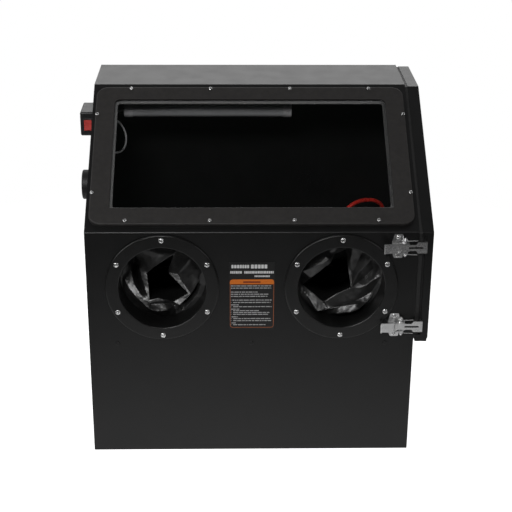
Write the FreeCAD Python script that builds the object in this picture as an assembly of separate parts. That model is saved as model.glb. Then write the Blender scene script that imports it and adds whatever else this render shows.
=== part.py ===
"""Bench-top sandblast cabinet: folded sheet body with a sloping window, two glove ports,
a side door on hinges with two toggle latches, and the working parts inside.

Millimetres. X runs to the right, Y to the back, Z up. The origin is the centre of the
footprint, on the underside, so the front panel is at Y_FRONT.
"""

import FreeCAD, Part
import os
from math import atan2, cos, degrees, hypot, pi, radians, sin, tan

V = FreeCAD.Vector
X_DIR = V(1, 0, 0)
Y_DIR = V(0, 1, 0)
Z_DIR = V(0, 0, 1)

# ---- driving dimensions ----
WIDTH = 580.0
DEPTH = 424.0
HEIGHT = 620.0
FRONT_HEIGHT = 434.0      # where the upright front panel meets the slope
SLOPE_RUN = 278.0         # how far back the slope reaches the top
SHEET = 1.5
FOLD_R = 4.0              # outer radius of the folded edges

X_SIDE = WIDTH / 2
X_IN = X_SIDE - SHEET
Y_FRONT = -DEPTH / 2
Y_BACK = DEPTH / 2
SLOPE = atan2(HEIGHT - FRONT_HEIGHT, SLOPE_RUN)
SLOPE_LENGTH = hypot(HEIGHT - FRONT_HEIGHT, SLOPE_RUN)

# window stack, in the slope's own plane: x across, s up the slope, off outwards
FRAME_X = 283.5
FRAME_S = (12.4, 321.5)
FRAME_THICK = 8.0
PANE_X = 249.0
PANE_S = (46.8, 291.4)
GASKET_LEDGE = 5.0
GASKET_THICK = 1.5
GLASS_THICK = 4.0
GLASS_MARGIN = 12.0

# glove ports
PORT_X = 157.5
PORT_Z = 330.0
PORT_BORE_R = 76.5
COLLAR_WALL = 2.0
COLLAR_LENGTH = 46.0
RING_R = 100.0
RING_THICK = 4.0
RING_PCD_R = 91.0

# work grate and hopper
RIVET_Z = 220.5
LEDGE_Z = 207.0
GRATE_Z = LEDGE_Z + SHEET
GRATE_THICK = 2.5
GRATE_TOP = GRATE_Z + GRATE_THICK
HOPPER_TOP = 205.0
HOPPER_LOW = 50.0
HOPPER_FLOOR = 40.0       # half the side of its square floor
DRAIN_R = 25.0

# door on the right side
DOOR_IN = 295.5
DOOR_OUT = 315.5
DOOR_LOW = 222.0
SKIN_LOW = 228.0
DOOR_STEP = 302.0         # inner edge of the door's narrower front flange
DOOR_TOP_GAP = 3.0
DOOR_SLOPE_GAP = 1.0
HINGE_X = 292.25
HINGE_Y = Y_BACK + 4.0
HINGE_ZS = (302.0, 548.0)

# toggle latches
LATCH_ZS = {"lower": 256.5, "upper": 408.5}
LATCH_PIN = (266.0, Y_FRONT - 6.5)
CLAW_PIN = (256.5, Y_FRONT - 9.5)
RUNNING_GAP = 0.05
LEVER_HALF = 8.75
LEVER_WALL = 1.2
LEVER_FRONT = Y_FRONT - 15.0
LEVER_CURL_R = 2.2
LATCH_FRONT = LEVER_FRONT + LEVER_WALL - 2 * LEVER_CURL_R
CLAW_THICK = 1.5
CLAW_HOOK_X = 302.2

# lamp
LAMP_Y = 78.0
LAMP_Z = 566.5
LAMP_X = (-237.0, 79.0)
LAMP_R = 12.5
LAMP_CAP_R = 13.6
LAMP_CAP = 16.0
LAMP_CLIP_LIP = 3.0       # how far past the tube's middle the open clip reaches

# switch box on the left side
BOX_X = (-DOOR_OUT, -X_SIDE)
BOX_Y = (28.0, 95.0)
BOX_Z = (531.5, 577.0)
ROCKER = (-301.3, 31.0, 552.5)
ROCKER_HALF = (7.2, 10.7)     # half the opening that it moves in
TRUNNION_R = 1.2
ROCKER_REST_TILT = -8.0

# plugged extraction port on the left side
SUCTION_PORT = (-76.0, 473.5)     # y, z
SUCTION_PORT_BORE_R = 19.0

# vent and air inlet on the back
VENT_Z = 275.0
VENT_R = 30.0
AIR_X = 266.0
AIR_Z = 250.0
AIR_THREAD_R = 6.58
AIR_STUB_END = -LATCH_FRONT     # as far behind the origin as the latch levers stand before it

# blast gun, lying on its side on the grate
GUN_Y = -70.0
GUN_BARREL_R = 14.0
GUN_Z = 225.2             # the barrel rests on the grate
GRIP_X = 20.0
TRIGGER_PIN = (-2.0, -48.0)

# hoses and lead: outer radius and route, one point per bend
AIR_HOSE_R = 4.0
AIR_HOSE_ROUTE = [
    (281, 196, 284), (281, 189, 322), (259, 171, 351), (213, 152, 354),
    (181, 138, 322), (162, 128, 280), (146, 124, 242), (118, 130, 216),
    (82, 142, 215.4), (46, 136, 215.4), (23, 108, 215.4), (18, 76, 219), (20, 48, 225.2),
]
SUCTION_HOSE_R = 5.0
SUCTION_HOSE_ROUTE = [
    (46, -70, 225.2), (74, -72, 220), (96, -54, 217.5), (101, -22, 217), (96, 8, 221), (84, 34, 229),
]
LEAD_R = 2.0
LEAD_ROUTE = [
    (-281, 84, 552), (-263, 84, 550), (-246, 83, 540), (-236, 81, 520), (-236, 79, 499),
    (-245, 77, 484), (-260, 74, 482), (-271, 71, 494), (-274, 69, 514), (-272, 69, 536),
    (-265, 72, 554), (-252, 76, 564), (-237, 78, 566.5),
]
GLAND_R = 4.0
PICKUP_R = 6.0
PICKUP_Y = 60.0
PICKUP_LOW = 84.0

# glove sleeve
SLEEVE_WALL = 1.5
SLEEVE = [  # depth behind the panel, height of the middle, half width, half height
    (48, 330, 80, 80), (92, 327, 78, 75), (130, 315, 71, 60), (165, 294, 60, 45),
    (200, 270, 50, 33), (235, 251, 43, 26), (275, 239, 40, 21), (310, 231, 34, 15),
    (335, 226, 22, 11),
]


# ---- helpers ----
def box(x0, x1, y0, y1, z0, z1):
    return Part.makeBox(x1 - x0, y1 - y0, z1 - z0, V(x0, y0, z0))


def rod(start, end, radius):
    start = V(*start)
    run = V(*end) - start
    return Part.makeCylinder(radius, run.Length, start, run)


def pipe(start, end, outer, inner):
    return rod(start, end, outer).cut(rod(start, end, inner))


def fuse(shapes):
    whole = shapes[0]
    for shape in shapes[1:]:
        whole = whole.fuse(shape)
    return whole.removeSplitter()


def cut(shape, tools):
    for tool in tools:
        shape = shape.cut(tool)
    return shape


def moved(shape, x, y, z):
    copy = shape.copy()
    copy.translate(V(x, y, z))
    return copy


def turned(shape, centre, axis, angle):
    copy = shape.copy()
    copy.rotate(V(*centre), axis, angle)
    return copy


def bend(before, corner, after, radius):
    """The tangent arc at a corner: its two ends, its middle and its radius."""
    way_in = (corner - before).normalize()
    way_out = (after - corner).normalize()
    half = way_in.getAngle(way_out) / 2
    reach = radius * tan(half)
    inward = (way_out - way_in).normalize()
    middle = corner + inward * (radius / cos(half) - radius)
    return corner - way_in * reach, middle, corner + way_out * reach


def rounded_wire(points, radii):
    """A closed outline with its corners rounded, each by its own radius (0 leaves it sharp)."""
    corners = [V(*p) for p in points]
    count = len(corners)
    joints = []
    for i in range(count):
        if radii[i]:
            joints.append(bend(corners[i - 1], corners[i], corners[(i + 1) % count], radii[i]))
        else:
            joints.append((corners[i], None, corners[i]))
    edges = []
    for i in range(count):
        start, middle, end = joints[i]
        if middle is not None:
            edges.append(Part.Arc(start, middle, end).toShape())
        following = joints[(i + 1) % count][0]
        if (following - end).Length > 1e-6:
            edges.append(Part.LineSegment(end, following).toShape())
    return Part.Wire(edges)


def extruded(points, radii, direction):
    return Part.Face(rounded_wire(points, radii)).extrude(V(*direction))


def plate(x0, x1, y0, y1, z0, z1, radius):
    """A flat plate in the XY plane with rounded corners."""
    points = [(x0, y0, z0), (x1, y0, z0), (x1, y1, z0), (x0, y1, z0)]
    return extruded(points, [radius] * 4, (0, 0, z1 - z0))


def side_corners(front, slope, top, back, low):
    """Corners of the five-sided side view, each edge moved inwards by its own amount."""
    y0 = Y_FRONT + front
    y1 = Y_BACK - back
    z1 = HEIGHT - top
    line = FRONT_HEIGHT - slope / cos(SLOPE)
    crease = (y0, line + (y0 - Y_FRONT) * tan(SLOPE))
    ridge = (Y_FRONT + (z1 - line) / tan(SLOPE), z1)
    return [(y0, low), crease, ridge, (y1, z1), (y1, low)]


def side_prism(corners, x0, x1, radius, low_radius=0):
    radii = [low_radius, radius, radius, radius, low_radius]
    points = [(x0, y, z) for y, z in corners]
    return extruded(points, radii, (x1 - x0, 0, 0))


def on_slope(shape):
    """From (across, up the slope, outwards) to the slope of the cabinet."""
    copy = shape.copy()
    copy.rotate(V(0, 0, 0), X_DIR, degrees(SLOPE))
    copy.translate(V(0, Y_FRONT, FRONT_HEIGHT))
    return copy


def on_front(shape):
    """From (across, height, outwards) to the upright front panel."""
    copy = shape.copy()
    copy.rotate(V(0, 0, 0), X_DIR, 90)
    copy.translate(V(0, Y_FRONT, 0))
    return copy


def pan_screw(head_r, head_height, shank_r, length):
    """Domed head above Z = 0 with a cross recess, plain shank below."""
    head = Part.makeCylinder(head_r, head_height)
    rim = [e for e in head.Edges if abs(e.CenterOfMass.z - head_height) < 1e-6 and e.Closed]
    head = head.makeFillet(head_height * 0.8, rim)
    slot = head_r * 0.14
    arm = head_r * 0.55
    floor = head_height * 0.35
    head = head.cut(box(-arm, arm, -slot, slot, floor, head_height + 1))
    head = head.cut(box(-slot, slot, -arm, arm, floor, head_height + 1))
    shank = Part.makeCylinder(shank_r, length, V(0, 0, -length))
    return head.fuse(shank).removeSplitter()


def hex_nut(across, thick, bore_r):
    """A nut below Z = 0."""
    corner = across / 2 / cos(pi / 6)
    points = [(corner * cos(i * pi / 3), corner * sin(i * pi / 3), 0) for i in range(6)]
    nut = extruded(points, [0] * 6, (0, 0, -thick))
    return nut.cut(Part.makeCylinder(bore_r, thick + 2, V(0, 0, -thick - 1)))


def tube_along(route, radius):
    """A round tube along straight runs and tangent arcs; returns the solid and its bend radii."""
    points = [V(*p) for p in route]
    edges = []
    radii = []
    last = points[0]
    for before, corner, after in zip(points, points[1:], points[2:]):
        half = (corner - before).getAngle(after - corner) / 2
        shorter = min((corner - before).Length, (after - corner).Length)
        size = 0.45 * shorter / tan(half)
        start, middle, end = bend(before, corner, after, size)
        edges.append(Part.LineSegment(last, start).toShape())
        edges.append(Part.Arc(start, middle, end).toShape())
        radii.append(size)
        last = end
    edges.append(Part.LineSegment(last, points[-1]).toShape())
    path = Part.Wire(edges)
    section = Part.Wire(Part.Circle(points[0], points[1] - points[0], radius).toShape())
    solid = path.makePipeShell([section], True, False)
    ratio = solid.Volume / (pi * radius ** 2 * path.Length)
    print("length %.0f, volume ratio %.3f, radii" % (path.Length, ratio),
          " ".join("%.0f" % r for r in radii), "diameter %.0f" % (2 * radius))
    return solid


def save(node, shape):
    shape.exportStep("parts/%s.step" % node)


# ---- fasteners placed on the panels ----
WINDOW_SCREWS = [(x, s) for s in (20.0, 317.0) for x in (-220.0, -73.4, 73.4, 220.0)]
WINDOW_SCREWS += [(x, s) for x in (-280.0, 280.0) for s in (79.5, 256.4)]
RING_SCREWS = [
    (side * PORT_X + RING_PCD_R * sin(i * pi / 3), PORT_Z + RING_PCD_R * cos(i * pi / 3))
    for side in (-1, 1)
    for i in range(6)
]
RIVET_XS = (-239.0, 0.0, 239.0)
LATCH_SCREWS = [(253.5, z + dz) for z in LATCH_ZS.values() for dz in (-17.0, 17.0)]


def window_shanks():
    return [on_slope(rod((x, s, -9), (x, s, 9), 2.0)) for x, s in WINDOW_SCREWS]


def ring_shanks():
    return [on_front(rod((x, z, -7), (x, z, 5), 2.5)) for x, z in RING_SCREWS]


def rivet_shanks():
    shanks = [rod((x, Y_FRONT - 1, RIVET_Z), (x, Y_FRONT + 6, RIVET_Z), 2.0) for x in RIVET_XS]
    return shanks + [rod((x, Y_BACK + 1, RIVET_Z), (x, Y_BACK - 6, RIVET_Z), 2.0) for x in RIVET_XS]


def latch_shanks():
    return [on_front(rod((x, z, -7), (x, z, 2), 2.0)) for x, z in LATCH_SCREWS]


# ---- sheet body ----
def wrapper():
    outer = side_prism(side_corners(0, 0, 0, 0, 0), -X_IN, X_IN, FOLD_R)
    inner = side_prism(side_corners(SHEET, SHEET, SHEET, SHEET, -1), -X_IN, X_IN, FOLD_R - SHEET)
    return outer.cut(inner)


def body_panels():
    """The front, window, top and back sheets, which meet edge to edge beside the folds."""
    skin = wrapper()
    seam = 8.0
    below = on_slope(box(-400, 400, -900, seam, -500, 500))
    slope = on_slope(box(-400, 400, seam, SLOPE_LENGTH - seam, -20, 20))
    front = skin.common(below)
    window = skin.common(slope)
    rest = skin.cut(below).cut(slope)
    behind = box(-400, 400, Y_BACK - seam, Y_BACK + 9, -9, HEIGHT + 9)

    collars = [
        rod((side * PORT_X, Y_FRONT - 9, PORT_Z), (side * PORT_X, Y_FRONT + 9, PORT_Z),
            PORT_BORE_R + COLLAR_WALL)
        for side in (-1, 1)
    ]
    front = cut(front, collars + ring_shanks() + rivet_shanks() + latch_shanks())
    save("front_panel", front)

    edge = GASKET_LEDGE - 1
    hole = plate(-PANE_X + edge, PANE_X - edge, PANE_S[0] + edge, PANE_S[1] - edge, -9, 9, 6)
    save("window_panel", cut(window, [on_slope(hole)] + window_shanks()))

    save("top_panel", rest.cut(behind))

    access = extruded([(-110, Y_BACK - 9, 20), (110, Y_BACK - 9, 20),
                       (110, Y_BACK - 9, 130), (-110, Y_BACK - 9, 130)], [12] * 4, (0, 18, 0))
    openings = [
        access,
        rod((0, Y_BACK - 9, VENT_Z), (0, Y_BACK + 9, VENT_Z), VENT_R),
        rod((AIR_X, Y_BACK - 9, AIR_Z), (AIR_X, Y_BACK + 9, AIR_Z), AIR_THREAD_R),
    ]
    save("back_panel", cut(rest.common(behind), openings + rivet_shanks()))


def side_panels():
    left = side_prism(side_corners(0, 0, 0, 0, 0), -X_SIDE, -X_IN, FOLD_R)
    y, z = SUCTION_PORT
    port = rod((-X_SIDE - 9, y, z), (-X_SIDE + 9, y, z), SUCTION_PORT_BORE_R + 3)
    gland = rod((-X_SIDE - 9, *LEAD_ROUTE[0][1:]), (-X_SIDE + 9, *LEAD_ROUTE[0][1:]), GLAND_R)
    save("left_side_panel", cut(left, [port, gland]))

    right = side_prism(side_corners(0, 0, 0, 0, 0), X_IN, X_SIDE, FOLD_R)
    doorway = side_prism(side_corners(26, 26, 26, 26, 250), X_IN - 1, X_SIDE + 1, 12, 12)
    save("right_side_panel", right.cut(doorway))

    inner = 24.0
    ring = box(-X_IN, X_IN, Y_FRONT + SHEET, Y_BACK - SHEET, 0, SHEET)
    hole = box(-X_IN + inner, X_IN - inner, Y_FRONT + inner, Y_BACK - inner, -1, 9)
    save("base_flange", ring.cut(hole))


def funnel(extra):
    """The hopper's outside, or with extra 0 its inside, as a four-sided loft."""
    wires = []
    for half_x, half_y, z in ((X_IN - 0.5, -Y_FRONT - SHEET - 0.5, HOPPER_TOP),
                              (HOPPER_FLOOR, HOPPER_FLOOR, HOPPER_LOW)):
        grow = 0 if z == HOPPER_TOP else extra
        dx = half_x + grow
        dy = half_y + grow
        low = z - extra
        points = [(-dx, -dy, low), (dx, -dy, low), (dx, dy, low), (-dx, dy, low)]
        wires.append(rounded_wire(points, [0] * 4))
    return Part.makeLoft(wires, True, True)


def hopper():
    outer = funnel(SHEET * 1.4)
    collar_low = HOPPER_LOW - 22
    outlet = rod((0, 0, HOPPER_LOW - 9), (0, 0, HOPPER_LOW + 9), DRAIN_R - SHEET)
    rim = box(-X_IN, X_IN, Y_FRONT + SHEET, Y_BACK - SHEET, HOPPER_TOP - 16, HOPPER_TOP)
    rim = rim.cut(box(-X_IN + SHEET, X_IN - SHEET, Y_FRONT + 2 * SHEET, Y_BACK - 2 * SHEET, 0, 900))
    sheets = cut(outer, [funnel(0), outlet]).fuse(rim)
    floor = HOPPER_LOW - SHEET * 1.4
    spout = pipe((0, 0, collar_low), (0, 0, floor), DRAIN_R, DRAIN_R - SHEET)
    shell = fuse([sheets.cut(funnel(0)), spout])

    # four plates welded at their mitred edges, and a floor with its spout in two halves
    low = HOPPER_FLOOR
    far_x = low + 1.2 * (X_IN - 0.5 - low)
    far_y = low + 1.2 * (-Y_FRONT - SHEET - 0.5 - low)
    plans = [
        [(way * -low, way * -low), (way * low, way * -low), (way * far_x, way * -far_y),
         (way * -far_x, way * -far_y)]
        for way in (1, -1)
    ]
    plans += [
        [(way * low, -low), (way * low, low), (way * far_x, far_y), (way * far_x, -far_y)]
        for way in (1, -1)
    ]
    plans += [[(0, -low), (way * low, -low), (way * low, low), (0, low)] for way in (1, -1)]
    plates = []
    for plan in plans:
        wire = Part.makePolygon([V(x, y, 0) for x, y in plan + plan[:1]])
        plates += shell.common(Part.Face(wire).extrude(V(0, 0, HEIGHT))).Solids
    save("hopper", Part.makeCompound(plates))

    cap = rod((0, 0, collar_low - 6), (0, 0, collar_low + 12), DRAIN_R + 3)
    cap = cap.cut(rod((0, 0, collar_low - 0.1), (0, 0, collar_low + 13), DRAIN_R + RUNNING_GAP))
    grips = [
        rod(((DRAIN_R + 4) * cos(a), (DRAIN_R + 4) * sin(a), collar_low - 7),
            ((DRAIN_R + 4) * cos(a), (DRAIN_R + 4) * sin(a), collar_low + 13), 2)
        for a in [radians(i * 30) for i in range(12)]
    ]
    save("drain_cap", cut(cap, grips))


def ledges_and_grate():
    deep = 22.0
    tall = 25.0
    bars = []
    for way in (-1, 1):
        wall = way * (Y_BACK - SHEET)
        inner = wall - way * SHEET
        tip = wall - way * deep
        upright = box(-X_IN, X_IN, min(wall, inner), max(wall, inner), LEDGE_Z, LEDGE_Z + tall)
        shelf = box(-X_IN, X_IN, min(wall, tip), max(wall, tip), LEDGE_Z, LEDGE_Z + SHEET)
        bars.append(cut(fuse([upright, shelf]), rivet_shanks()))
    save("grate_ledges", Part.makeCompound(bars))

    dome = Part.makeCylinder(4.0, 1.2)
    rim = [e for e in dome.Edges if abs(e.CenterOfMass.z - 1.2) < 1e-6 and e.Closed]
    dome = dome.makeFillet(0.9, rim)
    rivet = fuse([dome, rod((0, 0, -4), (0, 0, 0), 2.0), rod((0, 0, -4), (0, 0, -3), 3.2)])
    rivets = [on_front(moved(rivet, x, RIVET_Z, 0)) for x in RIVET_XS]
    rivets += [turned(r, (0, 0, 0), Z_DIR, 180) for r in rivets]
    save("ledge_rivets", Part.makeCompound(rivets))

    half_x = X_IN - 1.5
    half_y = Y_BACK - 2 * SHEET - 1.0
    sheet = box(-half_x, half_x, -half_y, half_y, GRATE_Z, GRATE_TOP)
    pitch_x = 40.0
    pitch_y = 22.0
    holes = []
    for row in range(-8, 9):
        shift = pitch_x / 2 if row % 2 else 0
        for column in range(-7, 7):
            x = column * pitch_x + shift
            y = row * pitch_y
            if abs(x + pitch_x / 2) < half_x - 20:
                holes.append(plate(x + 5, x + pitch_x - 5, y - 6, y + 6, 0, 900, 5.9))
    x, y, _ = SUCTION_HOSE_ROUTE[-1]
    pickup = rod((x, PICKUP_Y, 0), (x, PICKUP_Y, 900), PICKUP_R + 2)
    save("work_grate", sheet.cut(Part.makeCompound(holes)).cut(pickup))


# ---- window ----
def window():
    ledge_x = PANE_X - GASKET_LEDGE
    ledge_s = (PANE_S[0] + GASKET_LEDGE, PANE_S[1] - GASKET_LEDGE)
    glass_x = PANE_X + GLASS_MARGIN
    glass_s = (PANE_S[0] - GLASS_MARGIN, PANE_S[1] + GLASS_MARGIN)
    gasket = plate(-glass_x, glass_x, *glass_s, 0, GASKET_THICK, 4)
    gasket = gasket.cut(plate(-ledge_x, ledge_x, *ledge_s, -1, 9, 5))
    save("window_gasket", on_slope(gasket))

    lip = GASKET_THICK + GLASS_THICK
    glass = plate(-glass_x, glass_x, *glass_s, GASKET_THICK, lip, 4)
    save("window_glass", on_slope(glass))

    frame = plate(-FRAME_X, FRAME_X, *FRAME_S, 0, FRAME_THICK, 21)
    outer_rim = [e for e in frame.Edges
                 if abs(e.BoundBox.ZMin - FRAME_THICK) < 1e-6 and abs(e.BoundBox.ZMax - FRAME_THICK) < 1e-6]
    frame = frame.makeFillet(2.5, outer_rim)
    corners = [(-PANE_X, PANE_S[0], -1), (PANE_X, PANE_S[0], -1),
               (PANE_X, PANE_S[1], -1), (-PANE_X, PANE_S[1], -1)]
    pane = extruded(corners, [4, 4, 10, 10], (0, 0, 20))
    rebate = plate(-glass_x - 0.5, glass_x + 0.5, glass_s[0] - 0.5, glass_s[1] + 0.5, -1, lip, 4.5)
    save("window_frame", cut(on_slope(cut(frame, [pane, rebate])), window_shanks()))

    screw = pan_screw(3.4, 2.0, 2.0, FRAME_THICK + 6.5)
    screws = [on_slope(moved(screw, x, s, FRAME_THICK)) for x, s in WINDOW_SCREWS]
    save("window_screws", Part.makeCompound(screws))


# ---- glove ports ----
def glove_ring():
    """Flange with a collar that runs inwards, about local Z."""
    flange = Part.makeCylinder(RING_R, RING_THICK)
    rim = [e for e in flange.Edges if abs(e.CenterOfMass.z - RING_THICK) < 1e-6 and e.Closed]
    flange = flange.makeFillet(2.5, rim)
    collar = Part.makeCylinder(PORT_BORE_R + COLLAR_WALL, COLLAR_LENGTH, V(0, 0, -COLLAR_LENGTH))
    body = flange.fuse(collar)
    body = body.cut(Part.makeCylinder(PORT_BORE_R, 200, V(0, 0, -100)))
    mouth = [e for e in body.Edges
             if e.Closed and abs(e.CenterOfMass.z - RING_THICK) < 1e-6
             and abs(e.BoundBox.XMax - PORT_BORE_R) < 0.01]
    return body.makeFillet(1.8, mouth)


def oval(x, z, depth, half_x, half_z):
    ring = Part.Ellipse(V(x, z, -depth), half_x, half_z) if half_x > half_z else None
    ring = ring or Part.Circle(V(x, z, -depth), Z_DIR, half_x)
    return Part.Wire(ring.toShape())


def glove(side):
    """Sleeve clamped on the collar, narrowing to the hand that lies on the grate."""
    x = side * PORT_X
    grip_r = PORT_BORE_R + COLLAR_WALL
    outer = Part.makeLoft([oval(x, z, d, a, b) for d, z, a, b in SLEEVE], True, False)
    hollow_part = SLEEVE[:5]
    inner = Part.makeLoft(
        [oval(x, z, d, a - SLEEVE_WALL, b - SLEEVE_WALL) for d, z, a, b in hollow_part], True, False)
    cuff = Part.makeCylinder(grip_r + SLEEVE_WALL, 18, V(x, PORT_Z, -SLEEVE[0][0]))
    bore = Part.makeCylinder(grip_r, 30, V(x, PORT_Z, -SLEEVE[0][0]))
    return on_front(outer.fuse(cuff).cut(bore).cut(inner))


def glove_ports():
    screw = pan_screw(4.8, 2.8, 2.5, RING_THICK + 7)
    for name, side in (("left", -1), ("right", 1)):
        ring = on_front(moved(glove_ring(), side * PORT_X, PORT_Z, 0))
        save("glove_ring_" + name, cut(ring, ring_shanks()))
        save("glove_" + name, glove(side))
    screws = [on_front(moved(screw, x, z, RING_THICK)) for x, z in RING_SCREWS]
    save("ring_screws", Part.makeCompound(screws))

    inner = PORT_BORE_R + COLLAR_WALL + SLEEVE_WALL
    clamps = []
    for side in (-1, 1):
        x = side * PORT_X
        band = pipe((x, PORT_Z, -44), (x, PORT_Z, -34), inner + 0.8, inner)
        housing = box(x - 8, x + 8, PORT_Z + inner + 0.4, PORT_Z + inner + 8, -44, -34)
        worm = rod((x - 14, PORT_Z + inner + 5, -39), (x + 12, PORT_Z + inner + 5, -39), 2.6)
        clamps.append(on_front(fuse([band, housing, worm])))
    save("glove_clamps", Part.makeCompound(clamps))


def nuts():
    """The nuts behind the panels: one on every window, ring and latch screw."""
    small = hex_nut(7.0, 3.2, 2.0)
    large = hex_nut(8.0, 4.0, 2.5)
    group = [on_slope(moved(small, x, s, -SHEET)) for x, s in WINDOW_SCREWS]
    group += [on_front(moved(large, x, z, -SHEET)) for x, z in RING_SCREWS]
    group += [on_front(moved(small, x, z, -SHEET)) for x, z in LATCH_SCREWS]
    save("panel_nuts", Part.makeCompound(group))


def label():
    save("label_plate", on_front(plate(-40, 40, 248, 379, 0, 0.6, 3)))


# ---- lamp and its lead ----
def lamp():
    x0, x1 = LAMP_X
    left = x0 + LAMP_CAP
    right = x1 - LAMP_CAP
    tube = rod((left, LAMP_Y, LAMP_Z), (right, LAMP_Y, LAMP_Z), LAMP_R)
    save("lamp_tube", tube)

    caps = []
    for a, b in ((x0, left), (right, x1)):
        cap = rod((a, LAMP_Y, LAMP_Z), (b, LAMP_Y, LAMP_Z), LAMP_CAP_R)
        outer = [e for e in cap.Edges if e.Closed and abs(e.CenterOfMass.x - (a if a == x0 else b)) < 1e-6]
        caps.append(cap.makeFillet(2.0, outer))
    save("lamp_caps", Part.makeCompound(caps))

    ceiling = HEIGHT - SHEET
    hangers = []
    for x in (x0 + 38, x1 - 38):
        wide = 7.0
        clip = pipe((x - wide, LAMP_Y, LAMP_Z), (x + wide, LAMP_Y, LAMP_Z), LAMP_R + 1.2, LAMP_R)
        mouth = box(x - wide - 1, x + wide + 1, LAMP_Y - 20, LAMP_Y - LAMP_CLIP_LIP, LAMP_Z - 20, LAMP_Z + 20)
        clip = clip.cut(mouth)
        strap = box(x - wide, x + wide, LAMP_Y - 0.6, LAMP_Y + 0.6, LAMP_Z + LAMP_R + 0.6, ceiling - 1.2)
        foot = box(x - wide, x + wide, LAMP_Y - 0.6, LAMP_Y + 18, ceiling - 1.2, ceiling)
        hangers.append(fuse([clip, strap, foot]))
    save("lamp_hangers", Part.makeCompound(hangers))

    y, z = LEAD_ROUTE[0][1:]
    sleeve = rod((-X_SIDE - 4, y, z), (LEAD_ROUTE[0][0], y, z), GLAND_R)
    nut = rod((-X_IN, y, z), (-X_IN + 4, y, z), 7.0)
    flange = rod((-X_SIDE - 2, y, z), (-X_SIDE, y, z), 6.5)
    save("lead_gland", fuse([sleeve, nut, flange]))
    save("lamp_lead", tube_along(LEAD_ROUTE, LEAD_R))


# ---- switch box ----
def switch_box():
    wall = 2.0
    x0, x1 = BOX_X
    y0, y1 = BOX_Y
    z0, z1 = BOX_Z
    outer = box(x0, x1, y0, y1, z0, z1)
    kept = [e for e in outer.Edges if e.BoundBox.XMin < x1 - 1 or e.BoundBox.XMax < x1 - 1]
    outer = outer.makeFillet(3.4, kept)
    lid_line = box(x0 - 1, x1 + 1, y0 - 1, y1 + 1, z1 - 7.6, z1 - 6.4)
    lid_line = lid_line.cut(box(x0 + 0.9, x1 + 2, y0 + 0.9, y1 - 0.9, z1 - 9, z1))
    outer = outer.cut(lid_line)
    inner = box(x0 + wall, x1 + 1, y0 + wall, y1 - wall, z0 + wall, z1 - wall)
    x, y, z = ROCKER
    half_x, half_z = ROCKER_HALF
    cut_out = box(x - half_x - 1, x + half_x + 1, y0 - 1, y0 + 5, z - half_z - 1, z + half_z + 1)
    jack_hole = rod((x, y1 - 9, z), (x, y1 + 9, z), 4.0)
    save("switch_box", cut(outer, [inner, cut_out, jack_hole]))

    rim = box(x - half_x - 2, x + half_x + 2, y0 - 1.8, y0, z - half_z - 2, z + half_z + 2)
    front_edges = [e for e in rim.Edges if e.BoundBox.YMax < y0 - 1.7]
    rim = rim.makeFillet(1.0, front_edges)
    well = box(x - half_x - 1, x + half_x + 1, y0, y0 + 14, z - half_z - 1, z + half_z + 1)
    hollow = box(x - half_x, x + half_x, y0 - 9, y0 + 12.5, z - half_z, z + half_z)
    pivot = rod((x - half_x - 2, y, z), (x + half_x + 2, y, z), TRUNNION_R + RUNNING_GAP)
    save("switch_bezel", cut(fuse([rim, well]), [hollow, pivot]))

    half = half_x - 0.4
    tall = half_z - 1.1
    outline = [(x - half, y - 6.6, z - tall), (x - half, y - 5.2, z), (x - half, y - 6.6, z + tall),
               (x - half, y + 2.5, z + 7.5), (x - half, y + 2.5, z - 7.5)]
    rocker = extruded(outline, [0, 30, 0, 1, 1], (2 * half, 0, 0))
    trunnions = rod((x - half_x - 0.9, y, z), (x + half_x + 0.9, y, z), TRUNNION_R)
    save("switch_rocker", turned(fuse([rocker, trunnions]), ROCKER, X_DIR, ROCKER_REST_TILT))

    jack = fuse([rod((x, y1 - wall - 8, z), (x, y1 + 2, z), 4.0), rod((x, y1, z), (x, y1 + 2, z), 6.0)])
    jack = jack.cut(rod((x, y1 - 7, z), (x, y1 + 9, z), 2.75))
    save("power_inlet", jack.fuse(rod((x, y1 - 8, z), (x, y1 + 0.5, z), 1.0)))


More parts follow.
